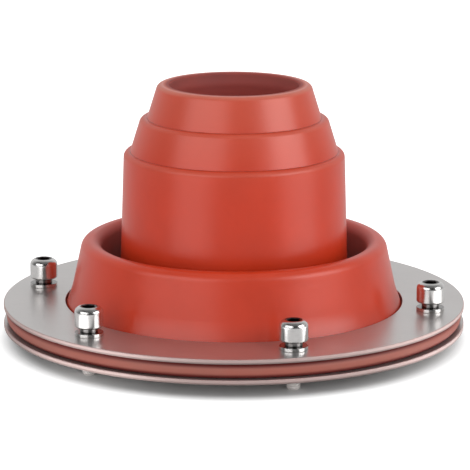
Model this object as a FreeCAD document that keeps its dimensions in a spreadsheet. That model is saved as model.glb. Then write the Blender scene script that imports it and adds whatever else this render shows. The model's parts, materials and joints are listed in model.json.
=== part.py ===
# Tent stove jack: a stepped silicone pipe boot, its flange clamped between two steel rings by screws.
# Millimetres, +Z up. The screws' ends stand on z = 0, the pipe's axis is Z, and one screw lies on +X.
import FreeCAD, Part
import math
import os

import Sketcher

# Driving dimensions, each in its own cell of the sheet
SIZES = {
    # boot: the sleeve, from the mouth down
    "mouth_diameter": 55.5,
    "seal_length": 3.0,
    "throat_round": 6.0,
    "mouth_round": 0.8,
    "lip_wall": 5.2,
    "lip_round": 2.4,
    "cone_height": 14.5,
    "cone_spread": 4.5,
    "ledge_width": 2.8,
    "ledge_round": 2.4,
    "sleeve_height": 67.4,
    "sleeve_spread": 2.1,
    "sleeve_wall": 4.2,
    # boot: the folded collar and the flange
    "trough_width": 7.75,
    "trough_depth": 24.0,
    "fold_wall": 3.2,
    "fold_gap": 1.8,
    "collar_height": 28.8,
    "collar_flare": 4.6,
    "skirt_height": 7.5,
    "skirt_flare": 2.8,
    "flange_thickness": 6.6,
    "flange_inset": 1.2,
    "flange_edge_round": 2.9,
    # steel rings
    "ring_width": 26.8,
    "ring_thickness": 2.0,
    "ring_edge_round": 0.4,
    "ring_clearance": 0.2,
    # fasteners
    "screw_count": 6,
    "screw_diameter": 6.0,
    "screw_length": 18.4,
    "screw_tip_bevel": 0.8,
    "shoulder_step": 0.7,
    "shoulder_height": 2.1,
    "head_diameter": 12.0,
    "head_height": 8.7,
    "head_round": 2.6,
    "head_under_round": 0.8,
    "socket_width": 5.0,
    "socket_depth": 3.0,
    "washer_diameter": 12.0,
    "washer_thickness": 1.6,
    # clearances on the screws' diameter
    "hole_clearance": 0.6,
    "washer_clearance": 0.4,
    "thread_clearance": 0.1,
}

# Radii of the boot, chained outwards from the mouth
MOUTH = "sizes.mouth_diameter / 2"
LIP = f"{MOUTH} + sizes.lip_wall"
UPPER_CONE_FOOT = f"{LIP} + sizes.cone_spread"
LOWER_CONE_TOP = f"{UPPER_CONE_FOOT} + sizes.ledge_width"
LOWER_CONE_FOOT = f"{LOWER_CONE_TOP} + sizes.cone_spread"
SLEEVE_TOP = f"{LOWER_CONE_FOOT} + sizes.ledge_width"
SLEEVE_FOOT = f"{SLEEVE_TOP} + sizes.sleeve_spread"
COLLAR_INSIDE = f"{SLEEVE_FOOT} + sizes.trough_width"
CREST_OUTSIDE = f"{COLLAR_INSIDE} + 2 * sizes.fold_wall + sizes.fold_gap"
SKIRT_TOP = f"{CREST_OUTSIDE} + sizes.collar_flare"
COLLAR_FOOT = f"{SKIRT_TOP} + sizes.skirt_flare"
COLLAR_SLOPE = "sizes.collar_flare / (sizes.collar_height - sizes.skirt_height)"
SKIRT_SLOPE = "sizes.skirt_flare / sizes.skirt_height"

# Radii of the rings, which clear the collar, and of the fasteners in the middle of the rings' width
RING_BORE = f"{COLLAR_FOOT} + sizes.ring_clearance"
RING_EDGE = f"{RING_BORE} + sizes.ring_width"
PITCH = f"{RING_BORE} + sizes.ring_width / 2"
FLANGE_EDGE = f"{RING_EDGE} - sizes.flange_inset"

# Heights of the boot above the underside of its flange
FLANGE_TOP = "sizes.flange_thickness"
SKIRT_LEVEL = f"{FLANGE_TOP} + sizes.skirt_height"
CREST = f"{FLANGE_TOP} + sizes.collar_height"
TROUGH_FLOOR = f"{CREST} - sizes.trough_depth"
LOWER_LEDGE = f"{FLANGE_TOP} + sizes.sleeve_height"
UPPER_LEDGE = f"{LOWER_LEDGE} + sizes.cone_height"
MOUTH_TOP = f"{UPPER_LEDGE} + sizes.cone_height"

# Run of the throat's rounding along the straight bore, for each millimetre of its radius
THROAT_RUN = 0.2

# Levels of the clamped stack above the screws' ends, from the heads down
HEAD_BASE = "sizes.screw_length + sizes.shoulder_height"
HEAD_TOP = f"{HEAD_BASE} + sizes.head_height"
WASHER_BASE = "sizes.screw_length - sizes.washer_thickness"
UPPER_RING_BASE = f"{WASHER_BASE} - sizes.ring_thickness"
FLANGE_BASE = f"{UPPER_RING_BASE} - sizes.flange_thickness"
LOWER_RING_BASE = f"{FLANGE_BASE} - sizes.ring_thickness"

doc = FreeCAD.newDocument("tent_stove_jack")
sheet = doc.addObject("Spreadsheet::Sheet", "sizes")
for row, (alias, number) in enumerate(SIZES.items(), start=1):
    sheet.set(f"A{row}", alias)
    sheet.set(f"B{row}", str(number))
    sheet.setAlias(f"B{row}", alias)
doc.recompute()


def value(expression):
    """The number that an expression on the sheet gives now."""
    return float(sheet.evalExpression(expression))


def origin(body, role):
    """A plane or axis of a body's own origin."""
    return next(feature for feature in body.Origin.OriginFeatures if feature.Role == role)


def new_body(label, base):
    """An empty body that stands at a level of the stack."""
    body = doc.addObject("PartDesign::Body", label)
    body.Label = label
    body.setExpression("Placement.Base.z", base)
    return body


def new_sketch(body, name, plane):
    """A sketch on one of the planes of the body's origin."""
    sketch = body.newObject("Sketcher::SketchObject", name)
    sketch.AttachmentSupport = [(origin(body, plane), "")]
    sketch.MapMode = "FlatFace"
    return sketch


def bind(sketch, kind, where, expression):
    """Add a dimension to a sketch and tie it to an expression."""
    index = sketch.addConstraint(Sketcher.Constraint(kind, *where, value(expression)))
    sketch.setExpression(f"Constraints[{index}]", expression)


def pin(sketch, point, across, up):
    """Hold a sketch point at two expressions, measured from the sketch's origin."""
    bind(sketch, "DistanceX", (-1, 1, *point), across)
    bind(sketch, "DistanceY", (-1, 1, *point), up)


def rounded_outline(sketch, corners):
    """Draw a closed outline: each corner is (across, up) or (across, up, radius), all expressions."""
    places = [FreeCAD.Vector(value(corner[0]), value(corner[1]), 0) for corner in corners]
    count = len(corners)
    starts, ends, rounds = [], [], []
    for index, corner in enumerate(corners):
        here = places[index]
        back = (places[index - 1] - here).normalize()
        ahead = (places[(index + 1) % count] - here).normalize()
        radius = value(corner[2]) if len(corner) > 2 else 0.0
        half = back.getAngle(ahead) / 2
        reach = radius / math.tan(half)
        ends.append(here + back * reach)
        starts.append(here + ahead * reach)
        middle = (back + ahead).normalize()
        centre = here + middle * (radius / math.sin(half))
        rounds.append((radius, centre - middle * radius))
    sides = [
        sketch.addGeometry(Part.LineSegment(starts[index], ends[(index + 1) % count]))
        for index in range(count)
    ]
    for index, corner in enumerate(corners):
        before, after = sides[index - 1], sides[index]
        radius, crown = rounds[index]
        if radius == 0.0:
            sketch.addConstraint(Sketcher.Constraint("Coincident", before, 2, after, 1))
            pin(sketch, (after, 1), corner[0], corner[1])
            continue
        tip = sketch.addGeometry(Part.Point(places[index]), True)
        pin(sketch, (tip, 1), corner[0], corner[1])
        sketch.addConstraint(Sketcher.Constraint("PointOnObject", tip, 1, before))
        sketch.addConstraint(Sketcher.Constraint("PointOnObject", tip, 1, after))
        arc = sketch.addGeometry(Part.Arc(ends[index], crown, starts[index]))
        arc_start = sketch.getPoint(arc, 1)
        first, last = (1, 2) if arc_start.isEqual(ends[index], 1e-6) else (2, 1)
        sketch.addConstraint(Sketcher.Constraint("Tangent", before, 2, arc, first))
        sketch.addConstraint(Sketcher.Constraint("Tangent", arc, last, after, 1))
        bind(sketch, "Radius", (arc,), corner[2])


def turn(body, name, corners, axis="0"):
    """Revolve an outline of the XZ plane round an upright line that stands at axis."""
    sketch = new_sketch(body, f"{name}_profile", "XZ_Plane")
    reference = "V_Axis"
    if axis != "0":
        foot = FreeCAD.Vector(value(axis), 0, 0)
        line = sketch.addGeometry(Part.LineSegment(foot, foot + FreeCAD.Vector(0, 1, 0)), True)
        pin(sketch, (line, 1), axis, "0")
        sketch.addConstraint(Sketcher.Constraint("Vertical", line))
        sketch.addConstraint(Sketcher.Constraint("DistanceY", line, 1, line, 2, 1.0))
        reference = "Axis0"
    rounded_outline(sketch, corners)
    turned = body.newObject("PartDesign::Revolution", name)
    turned.Profile = sketch
    turned.ReferenceAxis = (sketch, [reference])
    turned.Angle = 360
    doc.recompute()
    return turned


def repeat_round(body, name, originals=None):
    """Repeat features, or the whole body, at the screws' places round Z."""
    pattern = body.newObject("PartDesign::PolarPattern", name)
    if originals:
        pattern.Originals = originals
    else:
        pattern.TransformMode = "Whole shape"
    pattern.Axis = (origin(body, "Z_Axis"), [""])
    pattern.Angle = 360
    pattern.setExpression("Occurrences", "sizes.screw_count")
    body.Tip = pattern
    doc.recompute()
    return pattern


def drill(body, diameter, depth):
    """Cut the screws' holes through a body that stands on its own XY plane."""
    solid = body.Tip.Shape.Volume
    sketch = new_sketch(body, "hole_circle", "XY_Plane")
    middle = FreeCAD.Vector(value(PITCH), 0, 0)
    circle = sketch.addGeometry(Part.Circle(middle, FreeCAD.Vector(0, 0, 1), value(diameter) / 2))
    bind(sketch, "DistanceX", (-1, 1, circle, 3), PITCH)
    sketch.addConstraint(Sketcher.Constraint("PointOnObject", circle, 3, -1))
    bind(sketch, "Diameter", (circle,), diameter)
    hole = body.newObject("PartDesign::Pocket", "hole")
    hole.Profile = sketch
    hole.Reversed = True
    hole.setExpression("Length", depth)
    doc.recompute()
    repeat_round(body, "holes", [hole])
    expected = value("sizes.screw_count") * value(depth) * math.pi * (value(diameter) / 2) ** 2
    removed = solid - body.Tip.Shape.Volume
    if abs(removed - expected) > expected * 1e-6:
        raise RuntimeError(f"{body.Label}: the holes took {removed:.2f} mm3, not {expected:.2f}")


def make_boot():
    """The silicone moulding: sleeve, folded collar and flange as one turned wall, with drilled holes."""
    body = new_body("silicone_boot", FLANGE_BASE)
    lip_round = "min(sizes.lip_round; 0.6 * sizes.lip_wall)"
    mouth_round = "min(sizes.mouth_round; 0.3 * sizes.lip_wall)"
    throat = f"{MOUTH_TOP} - {mouth_round} - sizes.seal_length - {THROAT_RUN} * sizes.throat_round"
    ledge_round = "min(sizes.ledge_round; 0.95 * sizes.ledge_width)"
    trough_round = "0.48 * sizes.trough_width"
    crest_round = "0.49 * (2 * sizes.fold_wall + sizes.fold_gap)"
    flange_round = "min(sizes.flange_edge_round; 0.45 * sizes.flange_thickness)"
    cavity_top = f"{CREST} - sizes.fold_wall"
    cavity_inside = f"{COLLAR_INSIDE} + sizes.fold_wall"
    cavity_outside = f"{CREST_OUTSIDE} - sizes.fold_wall + {COLLAR_SLOPE} * sizes.fold_wall"
    cavity_round = f"0.45 * (sizes.fold_gap + {COLLAR_SLOPE} * sizes.fold_wall)"
    under_trough = f"{TROUGH_FLOOR} - sizes.fold_wall"
    under_trough_round = f"{trough_round} + sizes.fold_wall"
    outside = [
        (FLANGE_EDGE, "0", flange_round),
        (FLANGE_EDGE, FLANGE_TOP, flange_round),
        (COLLAR_FOOT, FLANGE_TOP),
        (SKIRT_TOP, SKIRT_LEVEL),
        (CREST_OUTSIDE, CREST, crest_round),
        (COLLAR_INSIDE, CREST, crest_round),
        (COLLAR_INSIDE, TROUGH_FLOOR, trough_round),
        (SLEEVE_FOOT, TROUGH_FLOOR, trough_round),
        (SLEEVE_TOP, LOWER_LEDGE, ledge_round),
        (LOWER_CONE_FOOT, LOWER_LEDGE),
        (LOWER_CONE_TOP, UPPER_LEDGE, ledge_round),
        (UPPER_CONE_FOOT, UPPER_LEDGE),
        (LIP, MOUTH_TOP, lip_round),
    ]
    inside = [
        (MOUTH, MOUTH_TOP, mouth_round),
        (MOUTH, throat, "sizes.throat_round"),
        (f"{UPPER_CONE_FOOT} - sizes.sleeve_wall", f"{UPPER_LEDGE} - sizes.sleeve_wall"),
        (f"{LOWER_CONE_TOP} - sizes.sleeve_wall", f"{UPPER_LEDGE} - sizes.sleeve_wall"),
        (f"{LOWER_CONE_FOOT} - sizes.sleeve_wall", f"{LOWER_LEDGE} - sizes.sleeve_wall"),
        (f"{SLEEVE_TOP} - sizes.sleeve_wall", f"{LOWER_LEDGE} - sizes.sleeve_wall"),
        (f"{SLEEVE_FOOT} - sizes.sleeve_wall", under_trough, under_trough_round),
        (cavity_inside, under_trough, under_trough_round),
        (cavity_inside, cavity_top, cavity_round),
        (cavity_outside, cavity_top, cavity_round),
        (f"{SKIRT_TOP} - sizes.fold_wall", SKIRT_LEVEL),
        (f"{COLLAR_FOOT} - sizes.fold_wall + {SKIRT_SLOPE} * sizes.flange_thickness", "0"),
    ]
    turn(body, "wall", outside + inside)
    drill(body, "sizes.screw_diameter + sizes.hole_clearance", "sizes.flange_thickness")
    return body


def make_ring(label, base, clearance):
    """A flat steel ring with broken edges and the screws' holes."""
    body = new_body(label, base)
    edge_round = "min(sizes.ring_edge_round; 0.4 * sizes.ring_thickness)"
    corners = [
        (RING_BORE, "0", edge_round),
        (RING_EDGE, "0", edge_round),
        (RING_EDGE, "sizes.ring_thickness", edge_round),
        (RING_BORE, "sizes.ring_thickness", edge_round),
    ]
    turn(body, "plate", corners)
    drill(body, f"sizes.screw_diameter + {clearance}", "sizes.ring_thickness")
    return body


def make_screws():
    """Six shouldered cap screws: bevelled end, shank, shoulder, rounded head and hexagon socket."""
    body = new_body("cap_screws", "0")
    shank = f"{PITCH} + sizes.screw_diameter / 2"
    shoulder = f"{shank} + sizes.shoulder_step"
    head = f"{PITCH} + sizes.head_diameter / 2"
    bevel = "min(sizes.screw_tip_bevel; 0.3 * sizes.screw_diameter)"
    corners = [
        (PITCH, "0"),
        (f"{shank} - {bevel}", "0"),
        (shank, bevel),
        (shank, "sizes.screw_length"),
        (shoulder, "sizes.screw_length"),
        (shoulder, HEAD_BASE),
        (head, HEAD_BASE, "min(sizes.head_under_round; 0.2 * sizes.head_height)"),
        (head, HEAD_TOP, "min(sizes.head_round; 0.4 * sizes.head_height)"),
        (PITCH, HEAD_TOP),
    ]
    turn(body, "blank", corners, PITCH)
    socket = body.newObject("PartDesign::SubtractivePrism", "socket")
    socket.AttachmentSupport = [(origin(body, "XY_Plane"), "")]
    socket.MapMode = "FlatFace"
    socket.Polygon = 6
    socket.setExpression("Circumradius", "sizes.socket_width / sqrt(3)")
    socket.setExpression("Height", "sizes.socket_depth")
    socket.setExpression("AttachmentOffset.Base.x", PITCH)
    socket.setExpression("AttachmentOffset.Base.z", f"{HEAD_TOP} - sizes.socket_depth")
    doc.recompute()
    repeat_round(body, "screws")
    return body


def make_washers():
    """Six flat washers on the upper ring, under the screws' shoulders."""
    body = new_body("flat_washers", WASHER_BASE)
    bore = f"{PITCH} + (sizes.screw_diameter + sizes.washer_clearance) / 2"
    edge = f"{PITCH} + sizes.washer_diameter / 2"
    thickness = "sizes.washer_thickness"
    turn(body, "washer", [(bore, "0"), (edge, "0"), (edge, thickness), (bore, thickness)], PITCH)
    repeat_round(body, "washers")
    return body


parts = [
    make_boot(),
    make_ring("upper_ring", UPPER_RING_BASE, "sizes.hole_clearance"),
    make_ring("lower_ring", LOWER_RING_BASE, "sizes.thread_clearance"),
    make_screws(),
    make_washers(),
]
doc.recompute()

for thing in doc.Objects:
    if "Invalid" in thing.State or "Error" in thing.State:
        raise RuntimeError(f"{thing.Name} failed: {thing.State}")
for part in parts:
    if part.Shape.isNull() or not part.Shape.isValid():
        raise RuntimeError(f"{part.Label} has no valid shape")

os.makedirs("parts", exist_ok=True)
for part in parts:
    part.Shape.exportStep(f"parts/{part.Label}.step")
    solids = len(part.Shape.Solids)
    box = part.Shape.BoundBox
    print(f"{part.Label}: {solids} solids, {part.Shape.Volume:.1f} mm3, z {box.ZMin:.2f} to {box.ZMax:.2f}")
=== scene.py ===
import json
import math

import bmesh
import bpy
from bpy.props import FloatProperty, FloatVectorProperty, IntProperty, PointerProperty
from mathutils import Euler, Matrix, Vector


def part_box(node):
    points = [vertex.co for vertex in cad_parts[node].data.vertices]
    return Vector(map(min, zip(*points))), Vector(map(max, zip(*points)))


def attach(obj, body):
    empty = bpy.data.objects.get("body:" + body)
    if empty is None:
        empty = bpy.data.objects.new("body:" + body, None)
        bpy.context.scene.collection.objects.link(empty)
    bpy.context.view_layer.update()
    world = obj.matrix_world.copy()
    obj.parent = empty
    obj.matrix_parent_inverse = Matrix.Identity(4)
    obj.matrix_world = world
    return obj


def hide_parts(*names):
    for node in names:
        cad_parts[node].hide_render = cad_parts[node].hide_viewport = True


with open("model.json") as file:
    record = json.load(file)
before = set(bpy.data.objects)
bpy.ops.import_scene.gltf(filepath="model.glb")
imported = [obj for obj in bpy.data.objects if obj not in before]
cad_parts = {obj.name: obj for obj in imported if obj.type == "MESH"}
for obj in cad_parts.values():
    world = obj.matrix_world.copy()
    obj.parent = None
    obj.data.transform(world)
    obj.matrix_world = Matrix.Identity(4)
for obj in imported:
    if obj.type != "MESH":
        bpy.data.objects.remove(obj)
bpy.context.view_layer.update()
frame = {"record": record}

bl_info = {
    "name": "Tent stove jack",
    "version": (1, 0, 0),
    "blender": (4, 5, 0),
    "location": "View3D > Sidebar > Stove jack",
    "description": "Dresses the packed stove jack: silicone boot, clamp rings, screws and washers",
    "category": "Object",
}

MM = 0.001

# What the packed frame says: levels and reaches of the nodes, the pipe's seat and the slots' colours
BOOT_LOW, BOOT_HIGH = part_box("silicone_boot")
UPPER_LOW, UPPER_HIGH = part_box("upper_ring")
LOWER_LOW, LOWER_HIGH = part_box("lower_ring")
SCREW_LOW, SCREW_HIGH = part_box("cap_screws")
WASHER_LOW, WASHER_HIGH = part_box("flat_washers")
SEAL = next(mount for mount in frame["record"]["mounts"] if mount["name"] == "pipe_seal")
SLOTS = {slot["slot"]: slot["base_color"] for slot in frame["record"]["materials"]}

# Points nearer than this are one point, and edges that bend by more than this stay sharp
MERGE = 1e-7
SHARP = math.radians(32)
# Turn from point to point round a section's corner, and steps round an edge of a screw's head
ARC_STEP = math.radians(8)
HEAD_ARC_STEPS = 8
# Facets of a screw, and of a drill, which is long enough to go through any piece
SCREW_FACETS = 48
DRILL_FACETS = 48
DRILL_LENGTH = 1.0
# Guard points keep a corner's shading off the flats: their distance, and the share of a flat at most
BOOT_GUARD = 0.4 * MM
RING_GUARD = 0.15 * MM
WASHER_GUARD = 0.1 * MM
SCREW_GUARD = 0.2 * MM
GUARD_SHARE = 0.3
# What a section's points carry beside their place
SECTION_MARKS = ("crown", "talc")
# A corner's mark is full when it bends by this much and is rounded by no more than this; it pales outer
# corners (wear and painted highlight) and darkens inner ones (painted shade)
FULL_MARK_BEND = math.radians(60)
FULL_MARK_ROUND = 1.5 * MM

# Roundings of the fold, the trough and the hollow in the fold, as shares of their widths
CREST_SHARE = 0.49
TROUGH_SHARE = 0.48
HOLLOW_SHARE = 0.45
# Share of the trough's depth to which its dust climbs the sleeve
TALC_SHARE = 0.7
# Run of the throat's rounding along the straight bore, for each metre of its radius
THROAT_RUN = 0.2
# The thread's corners as (place in a turn, whether on the crest), and the turns in which it runs out
THREAD_CORNERS = ((0.0, False), (0.25, False), (0.5, True), (0.75, True))
RUN_OUT_TURNS = 1.5

# Patterns of the finishes, in waves to the metre
MOTTLE_WAVES = 38.0
SWELL_WAVES = 55.0
MOULD_RING_WAVES = 620.0
SILICONE_GRAIN_WAVES = 1500.0
SMEAR_WAVES = 24.0
SCUFF_WAVES = 260.0
SHEET_GRAIN_WAVES = 2600.0
MARK_WAVES = 420.0
TURNING_WAVES = 4200.0
# Rolling draws the sheet's grain and scuffs out along X
GRAIN_STRETCH = (0.05, 1.0, 1.0)
SCUFF_STRETCH = (0.15, 1.0, 1.0)
# Radius counts this much beside height in the mould rings, so that they also cross the ledges
RING_SLANT = 0.7
# Cosines, from the front, at which reflections find the room's bright rear and its dark front
REAR_COSINE = -0.9
FRONT_COSINE = 0.3

# Numbers of a Mix node's sockets when it mixes colours
MIX_AMOUNT = 0
MIX_FIRST = 6
MIX_SECOND = 7
MIX_RESULT = 2


def reach(high):
    """How far a round node reaches from the pipe's axis."""
    return min(high.x, high.y)


def length(name, description, size):
    """A property for a size in metres."""
    return FloatProperty(
        name=name, description=description, default=size, min=0.0, precision=5, unit="LENGTH"
    )


def band(name, description, start, full):
    """A property for two distances in metres: where wear starts and where it is full."""
    return FloatVectorProperty(
        name=name,
        description=description,
        default=(start, full),
        size=2,
        min=0.0,
        precision=5,
        unit="LENGTH",
    )


def bearing(name, description, degrees):
    """A property for an angle, written in degrees."""
    return FloatProperty(
        name=name, description=description, default=math.radians(degrees), subtype="ANGLE"
    )


def share(name, description, default, top=1.0):
    """A property for a plain number."""
    return FloatProperty(name=name, description=description, default=default, min=0.0, max=top)


def power(name, description, watts):
    """A property for a lamp's power."""
    return FloatProperty(name=name, description=description, default=watts, min=0.0, unit="POWER")


def count_of(name, description, default, least):
    """A property for a whole number."""
    return IntProperty(name=name, description=description, default=default, min=least)


def colour(name, description, default):
    """A property for a linear colour."""
    return FloatVectorProperty(
        name=name, description=description, default=default, size=3, min=0.0, max=1.0, subtype="COLOR"
    )


class BootSizes(bpy.types.PropertyGroup):
    """Sizes of the silicone boot, from the mouth down."""

    mouth_radius: length("Mouth radius", "Bore that grips the pipe", SEAL["dims"]["r_mm"] * MM)
    seal_length: length("Seal length", "Straight part of the mouth", SEAL["dims"]["length_mm"] * MM)
    lip_wall: length("Lip wall", "Wall at the mouth", 5.2 * MM)
    throat_round: length("Throat round", "Rounding below the straight part", 6.0 * MM)
    mouth_round: length("Mouth round", "Rounding of the mouth's inner edge", 0.8 * MM)
    lip_round: length("Lip round", "Rounding of the mouth's outer edge", 2.4 * MM)
    cone_height: length("Cone height", "Height of each stepped cone", 14.5 * MM)
    cone_spread: length("Cone spread", "Growth in radius down each cone", 4.5 * MM)
    ledge_width: length("Ledge width", "Step between a cone and the next", 2.8 * MM)
    ledge_round: length("Ledge round", "Rounding of each ledge's edge", 2.4 * MM)
    crease_round: length("Crease round", "Rounding of the corner at a cone's foot", 0.25 * MM)
    sleeve_height: length("Sleeve height", "Lower ledge above the flange", 67.4 * MM)
    sleeve_spread: length("Sleeve spread", "Growth in radius down the sleeve", 2.1 * MM)
    sleeve_wall: length("Sleeve wall", "Wall of the sleeve and cones", 4.2 * MM)
    trough_width: length("Trough width", "Gap between the sleeve and the collar", 7.75 * MM)
    trough_depth: length("Trough depth", "Depth of that gap below the collar's crest", 24.0 * MM)
    fold_wall: length("Fold wall", "Wall of the folded collar", 3.2 * MM)
    fold_gap: length("Fold gap", "Space inside the fold at the crest", 1.8 * MM)
    collar_height: length("Collar height", "Crest above the flange", 28.8 * MM)
    collar_flare: length("Collar flare", "Growth in radius down the collar to its skirt", 4.6 * MM)
    skirt_height: length("Skirt height", "Top of the skirt above the flange", 7.5 * MM)
    skirt_flare: length("Skirt flare", "Growth in radius down the skirt", 2.8 * MM)
    skirt_round: length("Skirt round", "Bend between the collar and its skirt", 30.0 * MM)
    flange_thickness: length("Flange thickness", "Between the rings", UPPER_LOW.z - LOWER_HIGH.z)
    flange_round: length("Flange round", "Rounding of the flange's edge", 2.9 * MM)
    hole_diameter: length("Hole diameter", "Screw holes in the flange", 6.6 * MM)
    segments: count_of("Segments", "Facets round the boot", 240, 24)


class RingSizes(bpy.types.PropertyGroup):
    """Sizes of the two steel rings."""

    width: length("Width", "From the bore to the edge", 26.8 * MM)
    edge_round: length("Edge round", "Broken edges", 0.4 * MM)
    upper_hole: length("Upper hole", "Clearance holes of the upper ring", 6.6 * MM)
    lower_hole: length("Lower hole", "Tapped holes of the lower ring", 6.1 * MM)
    segments: count_of("Segments", "Facets round a ring", 288, 24)


class FastenerSizes(bpy.types.PropertyGroup):
    """Sizes of the cap screws and of their washers."""

    count: count_of("Count", "Screws round the rings", 6, 1)
    screw_diameter: length("Screw diameter", "Outside of the thread", 6.0 * MM)
    thread_pitch: length("Thread pitch", "Rise of the thread in a turn", 1.0 * MM)
    thread_depth: length("Thread depth", "From the thread's crest to its root", 0.4 * MM)
    thread_length: length("Thread length", "Cut part of the shank", 16.0 * MM)
    tip_bevel: length("Tip bevel", "Bevel of the screw's end", 0.8 * MM)
    shoulder_step: length("Shoulder step", "Shoulder beyond the shank's radius", 0.7 * MM)
    shoulder_height: length("Shoulder height", "Height of the shoulder under the head", 2.1 * MM)
    head_diameter: length("Head diameter", "Outside of the head", 12.0 * MM)
    head_height: length("Head height", "Height of the head", 8.7 * MM)
    head_round: length("Head round", "Rounding of the head's top edge", 2.6 * MM)
    head_under_round: length("Head under round", "Rounding of the head's lower edge", 0.8 * MM)
    socket_width: length("Socket width", "Hexagon across its flats", 5.0 * MM)
    socket_depth: length("Socket depth", "Depth of the hexagon", 3.0 * MM)
    socket_bevel: length("Socket bevel", "Bevel at the mouth of the hexagon", 0.3 * MM)
    washer_hole: length("Washer hole", "Bore of a flat washer", 6.4 * MM)
    washer_segments: count_of("Washer segments", "Facets round a washer", 64, 12)
    edge_round: length("Edge round", "Rounding of the washers' edges", 0.25 * MM)


class Finishes(bpy.types.PropertyGroup):
    """Colours and base roughness of the three materials."""

    silicone: colour("Silicone", "Moulded red silicone", (0.63, 0.034, 0.003))
    # pale film from rubbing, also laid on as painted highlight on edges and the rim
    silicone_bloom_and_highlight: colour("Silicone bloom", "Paler film on rubbed edges", (0.62, 0.15, 0.095))
    # painted shade in the steps' inner corners and at the collar's foot
    silicone_crease_shade: colour("Silicone crease", "Grime in the steps' corners", (0.2, 0.035, 0.025))
    silicone_inside: colour("Silicone inside", "Talc left by the mould", (0.4, 0.076, 0.066))
    silicone_trough: colour("Silicone trough", "Grey dust in the trough", (0.32, 0.155, 0.14))
    # a duller, darker tint along the flange's edge
    silicone_edge: colour("Silicone edge", "Dusty cut edge of the flange", (0.385, 0.122, 0.088))
    # painted shade on the flange's edge against each ring
    silicone_seam_shade: colour("Silicone seam", "Dark line against each ring", (0.16, 0.012, 0.008))
    silicone_roughness: share("Silicone roughness", "Of clean silicone", 0.25)
    ring_steel: colour("Ring steel", "Satin sheet steel", SLOTS["ring_steel"])
    ring_edge: colour("Ring edge", "Duller sheared edge of the sheet", (0.64, 0.49, 0.465))
    ring_roughness: share("Ring roughness", "Of clean sheet", 0.23)
    fastener_steel: colour("Fastener steel", "Bright steel of the screws", SLOTS["fastener_steel"])
    # paler than the steel as painted light on the ends in the rings' shade
    screw_ends_lit: colour("Screw ends", "Dull plating on the screws' ends", (0.92, 0.88, 0.86))
    # painted shade in the screws' sockets and under their heads
    socket_and_neck_shade: colour("Socket", "Oil and oxide in the screws' sockets", (0.06, 0.05, 0.05))
    fastener_roughness: share("Fastener roughness", "Of clean screws", 0.13)


class WearSizes(bpy.types.PropertyGroup):
    """How far wear, dust, painted shade and painted light reach, and how deep the patterns are."""

    # the silicone is drawn paler towards the mouth
    paler_near_mouth: band("Fading", "Below the mouth, where the silicone fades", 45.0 * MM, 0.0)
    # painted shade: the talc is darker near the rim
    talc_rim_shade: band("Dark talc", "Below the mouth, where the talc darkens", 10.0 * MM, 0.0)
    trough_dust: band("Trough dust", "Below the mouth, where dust settles", 50.0 * MM, 60.0 * MM)
    # paler rim top: rubbing wear and painted highlight
    rim_rub_and_highlight: band("Rim rub", "Below the mouth, where pipes rub the rim", 1.6 * MM, 0.2 * MM)
    # painted shade at the collar's foot
    foot_shade: length("Foot grime", "Above the upper ring", 8.0 * MM)
    edge_tint: band("Edge dust", "In from the flange's edge", 5.0 * MM, 3.0 * MM)
    # painted shade against each ring
    seam: band("Seam", "From a ring, over the flange's edge", 2.5 * MM, 1.0 * MM)
    swell_depth: length("Swell depth", "Uneven wall of the moulding", 0.2 * MM)
    mould_ring_depth: length("Mould ring depth", "Rings left by the mould", 0.01 * MM)
    silicone_grain: length("Silicone grain", "Depth of the grain", 0.01 * MM)
    sheared_edge: band("Sheared edge", "In from a ring's edge", 0.5 * MM, 0.2 * MM)
    # darker lower part of each ring's edge: tearing and painted shade
    torn_edge_and_shade: band("Torn edge", "Up a ring's edge, where it was torn", 1.0 * MM, 0.5 * MM)
    sheet_grain: length("Sheet grain", "Depth of the rings' grain", 0.003 * MM)
    # painted shade in each socket and a painted dark reflection on the top face round it
    socket_shade_reach: band("Socket stain", "From a screw's axis", 4.2 * MM, 3.1 * MM)
    socket_shade_depth: band("Stain depth", "Below the top of a screw", 4.0 * MM, 3.6 * MM)
    # painted shade under each head
    neck_shade_start: band("Neck start", "Below the washers' tops", 0.2 * MM, 0.0)
    neck_shade_end: length("Neck end", "Up the screws' heads, where the dark neck ends", 0.5 * MM)
    # painted light on the screws' ends
    dull_lit_ends: band("Dull ends", "Below the lower ring", 0.0, 1.0 * MM)
    turning_depth: length("Turning depth", "Fine rings left by the lathe", 0.003 * MM)


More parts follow.
